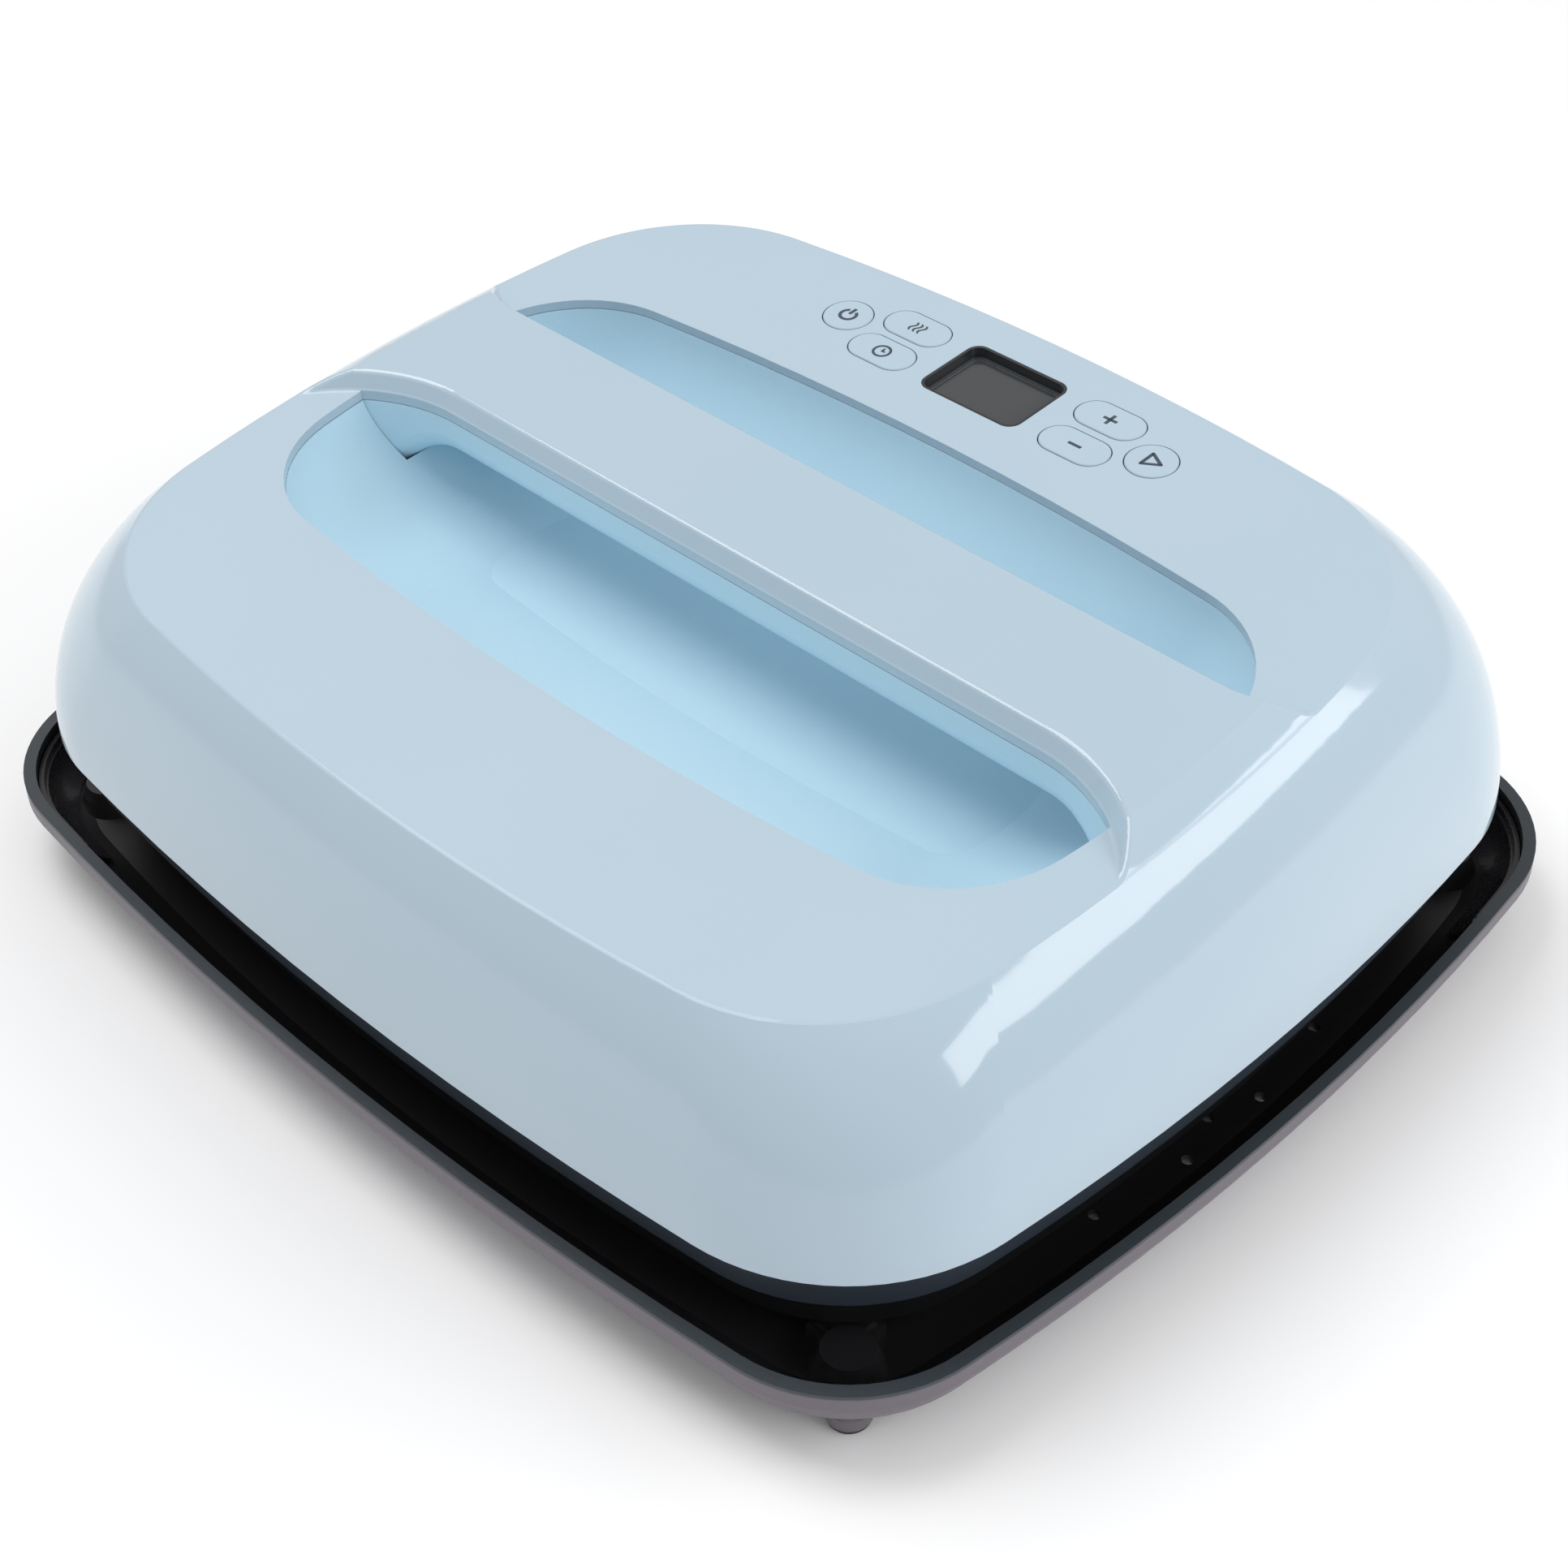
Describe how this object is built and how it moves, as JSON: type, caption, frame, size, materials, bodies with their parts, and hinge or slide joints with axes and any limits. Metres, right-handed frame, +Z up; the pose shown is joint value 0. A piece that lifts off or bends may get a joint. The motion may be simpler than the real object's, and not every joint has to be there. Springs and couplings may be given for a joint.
{
  "type": "heat press",
  "caption": "Handheld heat press with a bridge handle over a grip pocket, touch keys and display, resting in an insulated base tray with rubber feet.",
  "frame": {"origin": "on the table, under the middle of the base tray", "axes": "+X to the right along the handle, +Y from the operator to the control panel, +Z up"},
  "size_m": [0.3494, 0.298, 0.1109],
  "materials": {
    "tray_plastic": "moulded charcoal thermoset with a fine grain",
    "mat_fabric": "black woven glass-fibre mat",
    "silicone": "dull silicone rubber",
    "housing_plastic": "light blue, glossy sides and finely textured deck",
    "liner_plastic": "satin sky blue",
    "key_plastic": "light blue, fine texture",
    "dark_trim": "smooth dark grey",
    "lens_glass": "smoked, polished",
    "lcd": "dark liquid crystal panel",
    "board": "green solder mask",
    "component_black": "moulded component bodies",
    "transformer_tape": "yellow taped ferrite",
    "terminal_green": "green nylon",
    "fuse_glass": "glass tube fuse",
    "skirt_plastic": "dark blue grey, satin",
    "collar_plastic": "black phenolic",
    "plate_metal": "cast aluminium, dark non-stick coat",
    "mica": "mica laminate",
    "sheet_steel": "plated sheet",
    "blanket": "white glass wool",
    "ceramic": "steatite",
    "screw_steel": "zinc plated",
    "wire": "silicone sleeved wire"
  },
  "bodies": {
    "base": {"base_tray": "tray_plastic", "base_mat": "mat_fabric", "rest_pads": "silicone", "foot_pads": "silicone", "corner_guards": "tray_plastic"},
    "press": {"cord_bush": "silicone", "upper_housing": "housing_plastic", "handle_underside": "liner_plastic", "pocket_liner": "liner_plastic", "panel_frame": "dark_trim", "display_backlight": "dark_trim", "key_guide": "dark_trim", "display_lens": "lens_glass", "display_module": "lcd", "control_board": "board", "power_board": "board", "tactile_switches": "component_black", "buzzer": "component_black", "relay": "component_black", "triac": "component_black", "smoothing_capacitor": "component_black", "transformer": "transformer_tape", "terminal_block": "terminal_green", "mains_fuse": "fuse_glass", "chassis_frame": "skirt_plastic", "plate_surround": "collar_plastic", "heat_plate": "plate_metal", "mica_heater": "mica", "heater_clamp": "sheet_steel", "heat_shield": "sheet_steel", "sensor_clip": "sheet_steel", "earth_terminal": "sheet_steel", "insulation_blanket": "blanket", "ceramic_standoffs": "ceramic", "plate_sensor": "ceramic", "handle_screws": "screw_steel", "board_screws": "screw_steel", "clamp_screws": "screw_steel", "standoff_screws": "screw_steel", "chassis_screws": "screw_steel", "power_screws": "screw_steel", "thermal_fuses": "screw_steel", "heater_tabs": "screw_steel", "bush_nut": "screw_steel", "heater_leads": "wire", "panel_harness": "wire"},
    "power_key_body": {"power_key": "key_plastic"},
    "temperature_key_body": {"temperature_key": "key_plastic"},
    "timer_key_body": {"timer_key": "key_plastic"},
    "plus_key_body": {"plus_key": "key_plastic"},
    "minus_key_body": {"minus_key": "key_plastic"},
    "start_key_body": {"start_key": "key_plastic"}
  },
  "joints": [
    {"name": "press_lift", "type": "slide", "parent": "base", "child": "press", "axis": [0, 0, 1], "range_m": [0, 0.15]},
    {"name": "power_key_travel", "type": "slide", "parent": "press", "child": "power_key_body", "axis": [0, 0.0715, -0.9974], "range_m": [0, 0.0005], "stiffness_N_per_m": 3000},
    {"name": "temperature_key_travel", "type": "slide", "parent": "press", "child": "temperature_key_body", "axis": [0, 0.0715, -0.9974], "range_m": [0, 0.0005], "stiffness_N_per_m": 3000},
    {"name": "timer_key_travel", "type": "slide", "parent": "press", "child": "timer_key_body", "axis": [0, 0.0715, -0.9974], "range_m": [0, 0.0005], "stiffness_N_per_m": 3000},
    {"name": "plus_key_travel", "type": "slide", "parent": "press", "child": "plus_key_body", "axis": [0, 0.0715, -0.9974], "range_m": [0, 0.0005], "stiffness_N_per_m": 3000},
    {"name": "minus_key_travel", "type": "slide", "parent": "press", "child": "minus_key_body", "axis": [0, 0.0715, -0.9974], "range_m": [0, 0.0005], "stiffness_N_per_m": 3000},
    {"name": "start_key_travel", "type": "slide", "parent": "press", "child": "start_key_body", "axis": [0, 0.0715, -0.9974], "range_m": [0, 0.0005], "stiffness_N_per_m": 3000}
  ]
}
